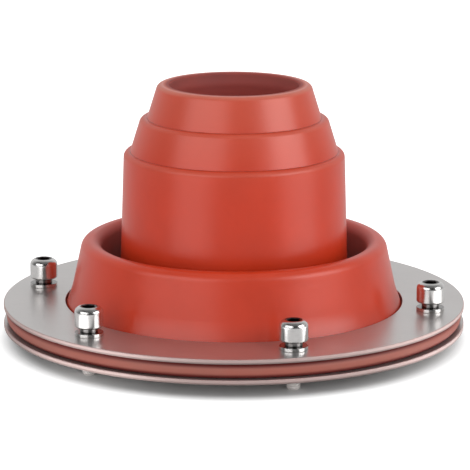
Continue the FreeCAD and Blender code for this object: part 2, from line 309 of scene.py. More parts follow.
class StudioSettings(bpy.types.PropertyGroup):
    """Camera, lamps and floor."""

    camera_distance: length("Camera distance", "From the aimed point to the camera", 1187 * MM)
    camera_bearing: bearing("Camera bearing", "From -Y towards +X", 13.7)
    camera_elevation: bearing("Camera elevation", "Above the horizon", 14.539)
    aim_height: length("Aim height", "Height of the aimed point on the pipe's axis", 16.2 * MM)
    camera_tilt: bearing("Camera tilt", "Upward turn after aiming", 1.344)
    camera_yaw: bearing("Camera yaw", "Leftward turn after aiming", -0.024)
    camera_roll: bearing("Camera roll", "Turn about the line of sight", 0.15)
    focal_length: FloatProperty(
        name="Focal length", description="Of the camera's lens", default=208.5, min=1.0, unit="CAMERA"
    )
    clip_near: length("Clip near", "Nearest distance that the camera sees", 0.01)
    clip_far: length("Clip far", "Farthest distance that the camera sees", 100.0)
    ambient: share("Ambient", "Light of the room on the object, at the horizon", 1.45, 2.0)
    ceiling: share("Ceiling", "Light of the room on the object, from above", 0.42)
    bright_rear: share("Bright rear", "Brightness that reflections find behind the object", 0.75)
    dark_front: share("Dark front", "Brightness that reflections find behind the camera", 0.03)
    floor_reach: length("Floor reach", "Half the side of the floor", 6.0)
    floor_white: share("Floor white", "Reflectance of the floor", 0.72)
    floor_lift: share("Floor lift", "White added to the floor outside the shadow", 0.8)
    shadow_inner: share("Shadow core", "Share of the rings' radius where the shadow is full", 0.92)
    shadow_outer: share("Shadow edge", "Share of the rings' radius where that white is full", 1.06, 2.0)
    floor_gloss: share("Floor gloss", "Share of that white that reflections find", 0.15)
    floor_pools: share("Floor pools", "The same where a softbox's light falls", 2.2, 10.0)
    pool_inner: bearing("Pool core", "Half angle of the brightest part of such a pool", 4.0)
    pool_outer: bearing("Pool edge", "Half angle at which it ends", 26.0)
    softbox_left: bearing("Left softbox", "From the camera, to the right", -41.0)
    softbox_right: bearing("Right softbox", "From the camera, to the right", 66.0)
    softbox_elevation: bearing("Softbox elevation", "Above the horizon", 24.0)
    softbox_distance: length("Softbox distance", "From the boot", 1.5)
    left_width: length("Left width", "Level side of the left softbox", 1.6)
    right_width: length("Right width", "Level side of the right softbox and of the key", 1.15)
    softbox_height: length("Softbox height", "Other side of each softbox", 0.86)
    left_power: power("Left power", "Seen as gloss alone", 9.0)
    right_power: power("Right power", "Seen as gloss alone", 11.8)
    key_side: bearing("Key side", "From the camera, to the right", 48.0)
    key_elevation: bearing("Key elevation", "Above the horizon", 32.0)
    key_power: power("Key power", "Matt light from the right", 3.5)
    top_side: bearing("Top side", "From the camera, to the right", 20.0)
    top_elevation: bearing("Top elevation", "Above the horizon", 74.0)
    top_size: length("Top size", "Side and distance of the lamp overhead", 1.6)
    top_power: power("Top power", "Lamp overhead", 1.0)


class Wire:
    """An output socket of a node tree whose arithmetic adds Math nodes."""

    def __init__(self, tree, socket):
        self.tree = tree
        self.socket = socket

    @classmethod
    def node(cls, tree, kind, settings=None, inputs=None, output=0):
        """Add a node, set its settings and then its sockets, and give one of its outputs."""
        node = tree.nodes.new(kind)
        for name, setting in (settings or {}).items():
            setattr(node, name, setting)
        for key, entry in (inputs or {}).items():
            if isinstance(entry, cls):
                tree.links.new(entry.socket, node.inputs[key])
            else:
                node.inputs[key].default_value = entry
        return cls(tree, node.outputs[output]) if len(node.outputs) else None

    def maths(self, operation, first, second=0.0):
        """A Math node on two values."""
        return self.node(self.tree, "ShaderNodeMath", {"operation": operation}, {0: first, 1: second})

    def __add__(self, other):
        return self.maths("ADD", self, other)

    __radd__ = __add__

    def __sub__(self, other):
        return self.maths("SUBTRACT", self, other)

    def __rsub__(self, other):
        return self.maths("SUBTRACT", other, self)

    def __mul__(self, other):
        return self.maths("MULTIPLY", self, other)

    __rmul__ = __mul__

    def __truediv__(self, other):
        return self.maths("DIVIDE", self, other)

    def __rtruediv__(self, other):
        return self.maths("DIVIDE", other, self)

    def __mod__(self, other):
        return self.maths("FLOORED_MODULO", self, other)

    def __rmod__(self, other):
        return self.maths("FLOORED_MODULO", other, self)

    def __neg__(self):
        return self.maths("MULTIPLY", self, -1.0)

    def floor(self):
        """The whole part of a value."""
        return self.maths("FLOOR", self)

    def sine(self):
        """The sine of an angle."""
        return self.maths("SINE", self)

    def cosine(self):
        """The cosine of an angle."""
        return self.maths("COSINE", self)

    def size(self):
        """The value without its sign."""
        return self.maths("ABSOLUTE", self)

    def above_zero(self):
        """The value where it is positive, else nothing."""
        return self.maths("MAXIMUM", self, 0.0)

    def part(self, axis):
        """One component of a vector."""
        return self.node(self.tree, "ShaderNodeSeparateXYZ", {}, {0: self}, axis)

    def ramp(self, low, high, bottom=0.0, top=1.0):
        """The value eased from bottom to top as it goes from low to high."""
        span = {"Value": self, "From Min": low, "From Max": high, "To Min": bottom, "To Max": top}
        return self.node(self.tree, "ShaderNodeMapRange", {"interpolation_type": "SMOOTHSTEP"}, span)

    def short_of(self, level, distances, bottom=0.0, top=1.0):
        """The value eased from bottom to top between two distances short of a level."""
        return self.ramp(level - distances[0], level - distances[1], bottom, top)


def rgba(tint, level=1.0):
    """A colour for a socket, with alpha."""
    return (*(channel * level for channel in tint), 1.0)


def blend(tree, amount, first, second):
    """A colour between two colours."""
    sockets = {MIX_AMOUNT: amount, MIX_FIRST: first, MIX_SECOND: second}
    return Wire.node(tree, "ShaderNodeMix", {"data_type": "RGBA"}, sockets, MIX_RESULT)


def shades(tree, amount, tint, first, second):
    """A tint between two levels of itself."""
    return blend(tree, amount, rgba(tint, first), rgba(tint, second))


def coat(tone, amount, tint, level=1.0):
    """A colour with a tint laid over it."""
    return blend(tone.tree, amount, tone, rgba(tint, level))


def noise(tree, place, waves, detail=2.0, roughness=0.5):
    """Soft noise from 0 to 1, with its waves to the metre."""
    sockets = {"Vector": place, "Scale": waves, "Detail": detail, "Roughness": roughness}
    return Wire.node(tree, "ShaderNodeTexNoise", {}, sockets)


def line_noise(tree, along, waves, detail=2.0):
    """Noise that changes only with one value, for rings and grain."""
    sockets = {"W": along, "Scale": waves, "Detail": detail}
    return Wire.node(tree, "ShaderNodeTexNoise", {"noise_dimensions": "1D"}, sockets)


def stretched(tree, place, stretch):
    """Coordinates scaled by axis, which draws noise out into grain."""
    return Wire.node(tree, "ShaderNodeMapping", {}, {"Vector": place, "Scale": stretch})


def bump(tree, height, depth, under=None):
    """A surface normal from a height between 0 and 1 and its depth in metres."""
    sockets = {"Height": height, "Distance": depth, "Strength": 1.0}
    if under:
        sockets["Normal"] = under
    return Wire.node(tree, "ShaderNodeBump", {}, sockets)


def new_material(name):
    """An empty material and its node tree."""
    material = bpy.data.materials.get(name) or bpy.data.materials.new(name)
    material.use_nodes = True
    material.node_tree.nodes.clear()
    return material, material.node_tree


def surface(tree, **sockets):
    """Finish a material with one principled shader; constants go straight on its sockets."""
    named = {key.replace("_", " "): entry for key, entry in sockets.items()}
    shader = Wire.node(tree, "ShaderNodeBsdfPrincipled", {}, named)
    Wire.node(tree, "ShaderNodeOutputMaterial", {}, {"Surface": shader})


def object_place(tree):
    """Object coordinates, in metres of the packed frame."""
    return Wire.node(tree, "ShaderNodeTexCoord", {}, {}, "Object")


def attribute(tree, name, output="Fac"):
    """A value or vector that the mesh carries."""
    return Wire.node(tree, "ShaderNodeAttribute", {"attribute_name": name}, {}, output)


def from_axis(tree, place):
    """Distance from the upright line through the origin."""
    flatten = {0: place, 1: (1.0, 1.0, 0.0)}
    flat = Wire.node(tree, "ShaderNodeVectorMath", {"operation": "MULTIPLY"}, flatten)
    return Wire.node(tree, "ShaderNodeVectorMath", {"operation": "LENGTH"}, {0: flat}, "Value")


def dot(tree, direction, towards):
    """Cosine of the angle between a direction and a fixed one."""
    sockets = {0: direction, 1: tuple(towards)}
    return Wire.node(tree, "ShaderNodeVectorMath", {"operation": "DOT_PRODUCT"}, sockets, "Value")


def red_silicone(finish, wear):
    """Satin moulded silicone: mould rings and grain, paler edges and rim with wear and painted
    highlight, and painted shade in creases, at the collar's foot, near the mouth's rim inside and along
    the flange's edge against the rings.
    """
    material, tree = new_material("red_silicone")
    place = object_place(tree)
    height = place.part("Z")
    radius = from_axis(tree, place)
    crown = attribute(tree, "crown")
    talc = attribute(tree, "talc")
    mottle = noise(tree, place, MOTTLE_WAVES, detail=4.0, roughness=0.6)
    grain = noise(tree, place, SILICONE_GRAIN_WAVES, detail=3.0, roughness=0.6)
    swells = noise(tree, place, SWELL_WAVES, detail=1.0)
    mould_rings = line_noise(tree, height + RING_SLANT * radius, MOULD_RING_WAVES)
    mouth = BOOT_HIGH.z
    tone = shades(tree, mottle.ramp(0.3, 0.7), finish.silicone, 0.95, 1.04)
    # paler towards the mouth
    tone = coat(tone, height.short_of(mouth, wear.paler_near_mouth, 0.03, 0.34), finish.silicone_bloom_and_highlight)
    # talc inside the mouth, with painted shade darkening it near the rim, and in the trough grey dust
    # lies on it
    dust = shades(tree, height.short_of(mouth, wear.talc_rim_shade), finish.silicone_inside, 1.35, 0.72)
    dust = coat(dust, height.short_of(mouth, wear.trough_dust), finish.silicone_trough)
    tone = blend(tree, talc * mottle.ramp(0.2, 0.8, 0.7, 1.0), tone, dust)
    # hands and pipes rub the outer edges and the top of the rim, and not the dust inside: they are paler
    # with wear and with painted highlight
    on_rim = height.short_of(mouth, wear.rim_rub_and_highlight)
    rubbed_and_highlit = (crown.above_zero() + on_rim) * (1.0 - talc) * mottle.ramp(0.3, 0.75, 0.5, 0.85)
    tone = coat(tone, rubbed_and_highlit, finish.silicone_bloom_and_highlight)
    # painted shade at the collar's foot above the upper ring and in the inner corners of the steps
    at_foot = height.ramp(UPPER_HIGH.z, UPPER_HIGH.z + wear.foot_shade, 0.2, 0.0)
    tone = coat(tone, at_foot, finish.silicone_crease_shade)
    tone = coat(tone, (-crown).above_zero() * 0.75, finish.silicone_crease_shade)
    # the flange's edge has a duller, darker tint all along, and painted shade makes a dark line against
    # each ring
    edge = radius.short_of(reach(BOOT_HIGH), wear.edge_tint)
    tone = coat(tone, edge * mottle.ramp(0.2, 0.8, 0.75, 1.0), finish.silicone_edge)
    middle = (UPPER_LOW.z + LOWER_HIGH.z) / 2
    half = (UPPER_LOW.z - LOWER_HIGH.z) / 2
    tone = coat(tone, edge * (height - middle).size().short_of(half, wear.seam), finish.silicone_seam_shade)
    roughness = finish.silicone_roughness + 0.08 * mottle + 0.05 * grain
    roughness = roughness + 0.25 * edge + 0.3 * crown.above_zero() + 0.4 * talc
    waves = bump(tree, swells, wear.swell_depth)
    rings = bump(tree, mould_rings, wear.mould_ring_depth, waves)
    surface(
        tree,
        Base_Color=tone,
        Roughness=roughness,
        IOR=1.42,
        Specular_IOR_Level=0.65,
        Normal=bump(tree, grain, wear.silicone_grain, rings),
    )
    return material


def ring_steel(finish, wear):
    """Satin sheet steel: straight grain, faint smears, and a duller sheared edge, its lower part darker
    with tearing and painted shade.
    """
    material, tree = new_material("ring_steel")
    place = object_place(tree)
    drawn_out = stretched(tree, place, GRAIN_STRETCH)
    grain = noise(tree, drawn_out, SHEET_GRAIN_WAVES, detail=3.0, roughness=0.65)
    smear = noise(tree, place, SMEAR_WAVES, detail=3.0, roughness=0.6)
    scuff = noise(tree, stretched(tree, place, SCUFF_STRETCH), SCUFF_WAVES)
    tone = shades(tree, smear.ramp(0.35, 0.7), finish.ring_steel, 0.97, 1.03)
    tone = coat(tone, grain.ramp(0.4, 0.75) * 0.25, finish.ring_steel, 0.88)
    sheared = from_axis(tree, place).short_of(reach(UPPER_HIGH), wear.sheared_edge)
    tone = coat(tone, sheared * scuff.ramp(0.2, 0.8, 0.8, 1.0), finish.ring_edge)
    # the shear cut the upper part of each ring's edge and tore the lower part, which is drawn darker:
    # tearing and painted shade
    up_edge = (place.part("Z") - LOWER_LOW.z) % (UPPER_LOW.z - LOWER_LOW.z)
    tone = coat(tone, up_edge.ramp(*wear.torn_edge_and_shade) * sheared, finish.ring_edge, 0.6)
    roughness = finish.ring_roughness + 0.07 * smear + 0.05 * grain + 0.04 * scuff + 0.4 * sheared
    surface(
        tree,
        Base_Color=tone,
        Metallic=0.86,
        Roughness=roughness,
        Normal=bump(tree, grain, wear.sheet_grain),
    )
    return material


def fastener_steel(finish, wear, sizes):
    """Bright turned steel: fine rings about each screw's own axis, painted shade in the sockets with a
    painted dark reflection round them, painted shade under the heads, and dull ends made paler as
    painted light.
    """
    material, tree = new_material("fastener_steel")
    own = attribute(tree, "own", "Vector")
    across = from_axis(tree, own)
    height = own.part("Z")
    turned = line_noise(tree, across + height, TURNING_WAVES, detail=1.0)
    marks = noise(tree, object_place(tree), MARK_WAVES, detail=3.0, roughness=0.65)
    tone = shades(tree, marks.ramp(0.45, 0.8) * 0.4, finish.fastener_steel, 1.0, 0.72)
    # painted shade in each socket, and a painted dark reflection on the top face round it
    near_top = height.short_of(SCREW_HIGH.z, wear.socket_shade_depth)
    tone = coat(tone, across.ramp(*wear.socket_shade_reach) * near_top, finish.socket_and_neck_shade)
    # painted shade on the neck under each head, down to the washers
    head_base = SCREW_HIGH.z - sizes.head_height
    under_head = height.ramp(head_base, head_base + wear.neck_shade_end, 0.7, 0.0)
    tone = coat(tone, height.short_of(WASHER_HIGH.z, wear.neck_shade_start) * under_head, finish.socket_and_neck_shade)
    # the ends under the lower ring are paler and duller: painted light where they sit in the rings'
    # shade, with a duller finish
    ends = height.short_of(LOWER_LOW.z, wear.dull_lit_ends)
    tone = coat(tone, ends, finish.screw_ends_lit)
    surface(
        tree,
        Base_Color=tone,
        Metallic=1.0 - 0.5 * ends,
        Roughness=finish.fastener_roughness + 0.1 * marks + 0.05 * turned + 0.4 * ends,
        Normal=bump(tree, turned, wear.turning_depth),
    )
    return material


def rounded_section(corners, guard, talced=(), talc_edge=None):
    """Points (radius, height, crown, talc) round a closed section of (radius, height, round) corners.

    Crown is 1 on the top of a sharp outer corner, -1 in a sharp inner one and near 0 where a bend is
    slight or wide. Talc is 1 at the corners whose numbers are in talced, and sets in round the corner
    talc_edge.
    """
    count = len(corners)
    spots = [Vector(corner[:2]) for corner in corners]
    bends = []
    for index, (here, corner) in enumerate(zip(spots, corners)):
        back = (spots[index - 1] - here).normalized()
        ahead = (spots[(index + 1) % count] - here).normalized()
        half = back.angle(ahead) / 2
        bends.append((back, ahead, half, corner[2] / math.tan(half)))
    points = []
    for index, (here, corner) in enumerate(zip(spots, corners)):
        after = (index + 1) % count
        bend = corner[2]
        back, ahead, half, run = bends[index]
        free_back = (spots[index - 1] - here).length - run - bends[index - 1][3]
        free_ahead = (spots[after] - here).length - run - bends[after][3]
        outer = 1.0 if ahead.cross(back) > 0 else -1.0
        swing = (math.pi - 2 * half) * outer
        tight = min(1.0, FULL_MARK_ROUND / max(bend, MERGE)) ** 2
        peak = outer * min(1.0, abs(swing) / FULL_MARK_BEND) * tight
        talc = float(index in talced)
        gain = float(index == talc_edge)
        points.append((*(here + back * (run + min(guard, GUARD_SHARE * free_back))), 0.0, talc))
        if bend:
            centre = here + (back + ahead).normalized() * (bend / math.sin(half))
            spoke = here + back * run - centre
            steps = max(2, math.ceil(abs(swing) / ARC_STEP))
            for step in range(steps + 1):
                cosine = math.cos(swing * step / steps)
                sine = math.sin(swing * step / steps)
                spun = Vector((spoke.x * cosine - spoke.y * sine, spoke.x * sine + spoke.y * cosine))
                crown = peak * math.sin(math.pi * step / steps)
                points.append((*(centre + spun), crown, talc + gain * step / steps))
        else:
            points.append((*here, peak, talc))
        points.append((*(here + ahead * (run + min(guard, GUARD_SHARE * free_ahead))), 0.0, talc + gain))
    return points


def section_mesh(name, points):
    """A section's points as a loop of edges in the XZ plane, with what else they say as attributes."""
    mesh = bpy.data.meshes.new(name)
    loop = [(index, (index + 1) % len(points)) for index in range(len(points))]
    mesh.from_pydata([(point[0], 0.0, point[1]) for point in points], loop, [])
    for offset, label in enumerate(SECTION_MARKS, start=2):
        marks = mesh.attributes.new(label, "FLOAT", "POINT")
        marks.data.foreach_set("value", [point[offset] for point in points])
    return mesh


def skin(name, rows):
    """A closed mesh over rows of points; points that meet are merged."""
    mesh = bpy.data.meshes.new(name)
    shell = bmesh.new()
    grid = [[shell.verts.new(point) for point in row] for row in rows]
    for low, high in zip(grid, grid[1:]):
        for corners in zip(low, low[1:], high[1:], high):
            shell.faces.new(corners)
    bmesh.ops.remove_doubles(shell, verts=shell.verts, dist=MERGE)
    bmesh.ops.dissolve_degenerate(shell, dist=MERGE, edges=shell.edges)
    shell.to_mesh(mesh)
    shell.free()
    return mesh


def new_tree(name, inputs):
    """A Geometry Nodes tree with a geometry socket each way and named inputs."""
    tree = bpy.data.node_groups.get(name) or bpy.data.node_groups.new(name, "GeometryNodeTree")
    tree.nodes.clear()
    tree.interface.clear()
    tree.interface.new_socket("Geometry", in_out="OUTPUT", socket_type="NodeSocketGeometry")
    tree.interface.new_socket("Geometry", in_out="INPUT", socket_type="NodeSocketGeometry")
    for label, kind in inputs.items():
        tree.interface.new_socket(label, in_out="INPUT", socket_type=kind)
    return tree


def end_tree(tree, geometry, material):
    """Close a tree: no instances are left, and the material is set."""
    plain = Wire.node(tree, "GeometryNodeRealizeInstances", {}, {"Geometry": geometry})
    dressed = Wire.node(tree, "GeometryNodeSetMaterial", {}, {"Geometry": plain, "Material": material})
    Wire.node(tree, "NodeGroupOutput", {}, {"Geometry": dressed})


def given(tree, label):
    """One of the tree's inputs."""
    return Wire.node(tree, "NodeGroupInput", {}, {}, label)


def circle_points(tree):
    """The points of the circle that the screws stand on, from the tree's inputs."""
    sockets = {"Vertices": given(tree, "Count"), "Radius": given(tree, "Circle")}
    return Wire.node(tree, "GeometryNodeMeshCircle", {}, sockets)


def turned_tree():
    """Turns a section round Z and keeps its marks."""
    tree = new_tree("turned piece", {"Segments": "NodeSocketInt", "Material": "NodeSocketMaterial"})
    section = given(tree, "Geometry")
    columns = given(tree, "Segments") + 1
    count = Wire.node(tree, "GeometryNodeAttributeDomainSize", {}, {"Geometry": section}, "Point Count")
    sheet = Wire.node(tree, "GeometryNodeMeshGrid", {}, {"Vertices X": count + 1, "Vertices Y": columns})
    index = Wire.node(tree, "GeometryNodeInputIndex")
    row = (index / columns).floor()
    column = index - row * columns
    corner = row % count
    place = Wire.node(
        tree,
        "GeometryNodeSampleIndex",
        {"data_type": "FLOAT_VECTOR"},
        {"Geometry": section, "Value": Wire.node(tree, "GeometryNodeInputPosition"), "Index": corner},
    )
    turn = column * -math.tau / given(tree, "Segments")
    radius = place.part("X")
    wrapped = Wire.node(
        tree,
        "ShaderNodeCombineXYZ",
        {},
        {"X": radius * turn.cosine(), "Y": radius * turn.sine(), "Z": place.part("Z")},
    )
    wall = Wire.node(tree, "GeometryNodeSetPosition", {}, {"Geometry": sheet, "Position": wrapped})
    number = {"data_type": "FLOAT"}
    for label in SECTION_MARKS:
        mark = Wire.node(tree, "GeometryNodeInputNamedAttribute", number, {"Name": label})
        held = {"Geometry": section, "Value": mark, "Index": corner}
        sampled = Wire.node(tree, "GeometryNodeSampleIndex", number, held)
        stored = {"Geometry": wall, "Name": label, "Value": sampled}
        wall = Wire.node(tree, "GeometryNodeStoreNamedAttribute", number, stored)
    wall = Wire.node(tree, "GeometryNodeMergeByDistance", {}, {"Geometry": wall, "Distance": MERGE})
    end_tree(tree, wall, given(tree, "Material"))
    return tree


def drilled_tree():
    """Drills upright holes through a piece, evenly round a circle."""
    tree = new_tree(
        "drilled piece",
        {
            "Count": "NodeSocketInt",
            "Circle": "NodeSocketFloat",
            "Diameter": "NodeSocketFloat",
            "Material": "NodeSocketMaterial",
        },
    )
    drill = Wire.node(
        tree,
        "GeometryNodeMeshCylinder",
        {},
        {"Vertices": DRILL_FACETS, "Radius": given(tree, "Diameter") * 0.5, "Depth": DRILL_LENGTH},
    )
    set_round = {"Points": circle_points(tree), "Instance": drill}
    drills = Wire.node(tree, "GeometryNodeInstanceOnPoints", {}, set_round)
    drills = Wire.node(tree, "GeometryNodeRealizeInstances", {}, {"Geometry": drills})
    bored = Wire.node(
        tree,
        "GeometryNodeMeshBoolean",
        {"operation": "DIFFERENCE", "solver": "MANIFOLD"},
        {"Mesh 1": given(tree, "Geometry"), "Mesh 2": drills},
    )
    end_tree(tree, bored, given(tree, "Material"))
    return tree


def repeated_tree():
    """Sets a piece on each point of a circle, turned to face outwards, with its own coordinates kept."""
    tree = new_tree(
        "set round the rings",
        {"Count": "NodeSocketInt", "Circle": "NodeSocketFloat", "Material": "NodeSocketMaterial"},
    )
    spot = Wire.node(tree, "GeometryNodeInputPosition")
    piece = Wire.node(
        tree,
        "GeometryNodeStoreNamedAttribute",
        {"data_type": "FLOAT_VECTOR"},
        {"Geometry": given(tree, "Geometry"), "Name": "own", "Value": spot},
    )
    turn = Wire.node(tree, "GeometryNodeInputIndex") * math.tau / given(tree, "Count")
    facing = Wire.node(tree, "ShaderNodeCombineXYZ", {}, {"Z": turn})
    set_round = {"Points": circle_points(tree), "Instance": piece, "Rotation": facing}
    copies = Wire.node(tree, "GeometryNodeInstanceOnPoints", {}, set_round)
    end_tree(tree, copies, given(tree, "Material"))
    return tree


def new_object(name, data):
    """An object in the scene, in place of an earlier one of its name."""
    earlier = bpy.data.objects.get(name)
    if earlier:
        bpy.data.objects.remove(earlier)
    made = bpy.data.objects.new(name, data)
    bpy.context.scene.collection.objects.link(made)
    return made


def grown_mesh(piece, steps):
    """Run Geometry Nodes trees with their inputs over a piece and give the result as a plain mesh."""
    for tree, inputs in steps:
        modifier = piece.modifiers.new(tree.name, "NODES")
        modifier.node_group = tree
        for socket in tree.interface.items_tree:
            if socket.in_out == "INPUT" and socket.name in inputs:
                modifier[socket.identifier] = inputs[socket.name]
    graph = bpy.context.evaluated_depsgraph_get()
    plain = bpy.data.meshes.new_from_object(piece.evaluated_get(graph))
    piece.modifiers.clear()
    return plain


def close_mesh(mesh, name):
    """Merge a mesh's seams, point its faces outwards and make sure that it is closed."""
    if not mesh.polygons:
        raise RuntimeError(f"{name} came out empty")
    shell = bmesh.new()
    shell.from_mesh(mesh)
    bmesh.ops.remove_doubles(shell, verts=shell.verts, dist=MERGE)
    bmesh.ops.recalc_face_normals(shell, faces=shell.faces)
    open_edges = sum(not edge.is_manifold for edge in shell.edges)
    shell.to_mesh(mesh)
    shell.free()
    if open_edges:
        raise RuntimeError(f"{name} has {open_edges} open edges")


def make_piece(name, node, slot, mesh, *steps):
    """Grow a piece from a mesh by Geometry Nodes trees and show it in place of a CAD node."""
    piece = new_object(name, mesh)
    plain = grown_mesh(piece, steps)
    piece.data = plain
    bpy.data.meshes.remove(mesh)
    close_mesh(plain, name)
    plain.name = name
    plain.shade_smooth()
    plain.set_sharp_from_angle(angle=SHARP)
    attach(piece, "root")
    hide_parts(node)


def boot_section(boot):
    """Corners of the boot's wall as (radius, height, round), up the outside and down the inside.

    With them come the numbers of the corners where talc stays, in the trough and inside, and the number
    of the corner where it sets in, on the collar's crest.
    """
    lip = boot.mouth_radius + boot.lip_wall
    upper_foot = lip + boot.cone_spread
    lower_top = upper_foot + boot.ledge_width
    lower_foot = lower_top + boot.cone_spread
    sleeve_top = lower_foot + boot.ledge_width
    sleeve_foot = sleeve_top + boot.sleeve_spread
    collar_inside = sleeve_foot + boot.trough_width
    fold = 2 * boot.fold_wall + boot.fold_gap
    crest_outside = collar_inside + fold
    skirt_top = crest_outside + boot.collar_flare
    collar_foot = skirt_top + boot.skirt_flare
    slope = boot.collar_flare / (boot.collar_height - boot.skirt_height)
    skirt_slope = boot.skirt_flare / boot.skirt_height
    flange_edge = reach(BOOT_HIGH)
    base = BOOT_LOW.z
    flange_top = base + boot.flange_thickness
    skirt_level = flange_top + boot.skirt_height
    crest = flange_top + boot.collar_height
    trough = crest - boot.trough_depth
    lower_ledge = flange_top + boot.sleeve_height
    upper_ledge = lower_ledge + boot.cone_height
    mouth_top = upper_ledge + boot.cone_height
    throat = mouth_top - boot.mouth_round - boot.seal_length - THROAT_RUN * boot.throat_round
    crest_round = CREST_SHARE * fold
    trough_round = TROUGH_SHARE * boot.trough_width
    under_round = trough_round + boot.fold_wall
    cavity_round = HOLLOW_SHARE * (boot.fold_gap + slope * boot.fold_wall)
    cavity_inside = collar_inside + boot.fold_wall
    cavity_outside = crest_outside - boot.fold_wall + slope * boot.fold_wall
    cavity_top = crest - boot.fold_wall
    under_trough = trough - boot.fold_wall
    talc_rise = TALC_SHARE * boot.trough_depth
    talc_top = trough + talc_rise
    sleeve_at_talc = sleeve_foot - boot.sleeve_spread * talc_rise / (lower_ledge - trough)
    wall = boot.sleeve_wall
    crest_inside = (collar_inside, crest, crest_round)
    in_trough = [(collar_inside, trough, trough_round), (sleeve_foot, trough, trough_round)]
    outside = [
        (flange_edge, base, boot.flange_round),
        (flange_edge, flange_top, boot.flange_round),
        (collar_foot, flange_top, boot.crease_round),
        (skirt_top, skirt_level, boot.skirt_round),
        (crest_outside, crest, crest_round),
        crest_inside,
        *in_trough,
        (sleeve_at_talc, talc_top, 0.0),
        (sleeve_top, lower_ledge, boot.ledge_round),
        (lower_foot, lower_ledge, boot.crease_round),
        (lower_top, upper_ledge, boot.ledge_round),
        (upper_foot, upper_ledge, boot.crease_round),
        (lip, mouth_top, boot.lip_round),
    ]
    inside = [
        (boot.mouth_radius, mouth_top, boot.mouth_round),
        (boot.mouth_radius, throat, boot.throat_round),
        (upper_foot - wall, upper_ledge - wall, boot.crease_round),
        (lower_top - wall, upper_ledge - wall, boot.crease_round),
        (lower_foot - wall, lower_ledge - wall, boot.crease_round),
        (sleeve_top - wall, lower_ledge - wall, boot.crease_round),
        (sleeve_foot - wall, under_trough, under_round),
        (cavity_inside, under_trough, under_round),
        (cavity_inside, cavity_top, cavity_round),
        (cavity_outside, cavity_top, cavity_round),
        (skirt_top - boot.fold_wall, skirt_level, boot.skirt_round),
        (collar_foot - boot.fold_wall + skirt_slope * boot.flange_thickness, base, boot.crease_round),
    ]
    corners = outside + inside
    talced = [corners.index(corner) for corner in in_trough + inside]
    return corners, talced, corners.index(crest_inside)


def ring_points(columns, height, radius):
    """A row of points round the origin; radius is a number or a function of the angle."""
    row = []
    for column in range(columns + 1):
        turn = math.tau * (column % columns) / columns
        far = radius(turn) if callable(radius) else radius
        row.append((far * math.cos(turn), far * math.sin(turn), height))
    return row


def thread_rows(sizes, columns):
    """Rows up a threaded shank that follow the thread, with a bevelled end and a run-out at the top."""
    crest = sizes.screw_diameter / 2
    root = crest - sizes.thread_depth
    tip = crest - sizes.tip_bevel
    top = sizes.thread_length
    run_out = RUN_OUT_TURNS * sizes.thread_pitch
    rows = []
    for turn in range(math.ceil(top / sizes.thread_pitch) + 2):
        for phase, on_crest in THREAD_CORNERS:
            row = []
            for column in range(columns + 1):
                rise = (turn - 1 + phase + column / columns) * sizes.thread_pitch
                height = min(max(rise, 0.0), top)
                faded = min(max((height - top + run_out) / run_out, 0.0), 1.0)
                far = crest if on_crest else root + (crest - root) * faded
                far = min(far, tip + height)
                angle = math.tau * (column % columns) / columns
                row.append((far * math.cos(angle), far * math.sin(angle), height))
            rows.append(row)
    return rows


def quarter_round(across, height, bend, start):
    """Points (radius, height) of a quarter arc that ends a quarter turn on from its start angle."""
    turns = [start + math.pi / 2 * step / HEAD_ARC_STEPS for step in range(HEAD_ARC_STEPS + 1)]
    return [(across + bend * math.cos(turn), height + bend * math.sin(turn)) for turn in turns]


def screw_mesh(sizes):
    """One cap screw standing on its end: threaded shank, shoulder, round head and hexagon socket."""
    guard = SCREW_GUARD
    top = SCREW_HIGH.z - SCREW_LOW.z
    head_base = top - sizes.head_height
    shank_length = head_base - sizes.shoulder_height
    shank = sizes.screw_diameter / 2
    shoulder = shank + sizes.shoulder_step
    head = sizes.head_diameter / 2
    under = sizes.head_under_round
    over = sizes.head_round
    flat = sizes.socket_width / 2
    mouth = flat / math.cos(math.pi / 6) + sizes.socket_bevel
    floor = top - sizes.socket_depth

    def hexagon(turn):
        return flat / math.cos(turn % (math.pi / 3) - math.pi / 6)

    outline = [
        (shank, shank_length),
        (shoulder - guard, shank_length),
        (shoulder, shank_length + guard),
        (shoulder, shank_length + 2 * guard),
        (shoulder, head_base - guard),
        (shoulder, head_base),
        (shoulder + guard, head_base),
        (head - under - guard, head_base),
        *quarter_round(head - under, head_base + under, under, -math.pi / 2),
        (head, head_base + under + guard),
        (head, top - over - guard),
        *quarter_round(head - over, top - over, over, 0.0),
        (head - over - guard, top),
        (mouth + guard, top),
        (mouth, top),
        (hexagon, top - sizes.socket_bevel),
        (hexagon, floor),
        (0.0, floor),
    ]
    rows = [ring_points(SCREW_FACETS, 0.0, 0.0), *thread_rows(sizes, SCREW_FACETS)]
    rows += [ring_points(SCREW_FACETS, height, radius) for radius, height in outline]
    return skin("cap_screw", rows)


def flat_section(low, high, bore, edge, bend):
    """Corners of the section of a flat ring or washer, all rounded alike."""
    return [(bore, low, bend), (edge, low, bend), (edge, high, bend), (bore, high, bend)]


def pitch_circle(sizes):
    """Radius of the circle that the screws stand on."""
    return SCREW_HIGH.x - sizes.head_diameter / 2


def turned_steps(segments, fasteners, hole, material):
    """The trees that turn a section and drill it for the screws, with their inputs."""
    turned = {"Segments": segments, "Material": material}
    drilled = {
        "Count": fasteners.count,
        "Circle": pitch_circle(fasteners),
        "Diameter": hole,
        "Material": material,
    }
    return (turned_tree(), turned), (drilled_tree(), drilled)


def repeated_step(fasteners, material):
    """The tree that sets a piece round the rings, with its inputs."""
    repeated = {"Count": fasteners.count, "Circle": pitch_circle(fasteners), "Material": material}
    return repeated_tree(), repeated


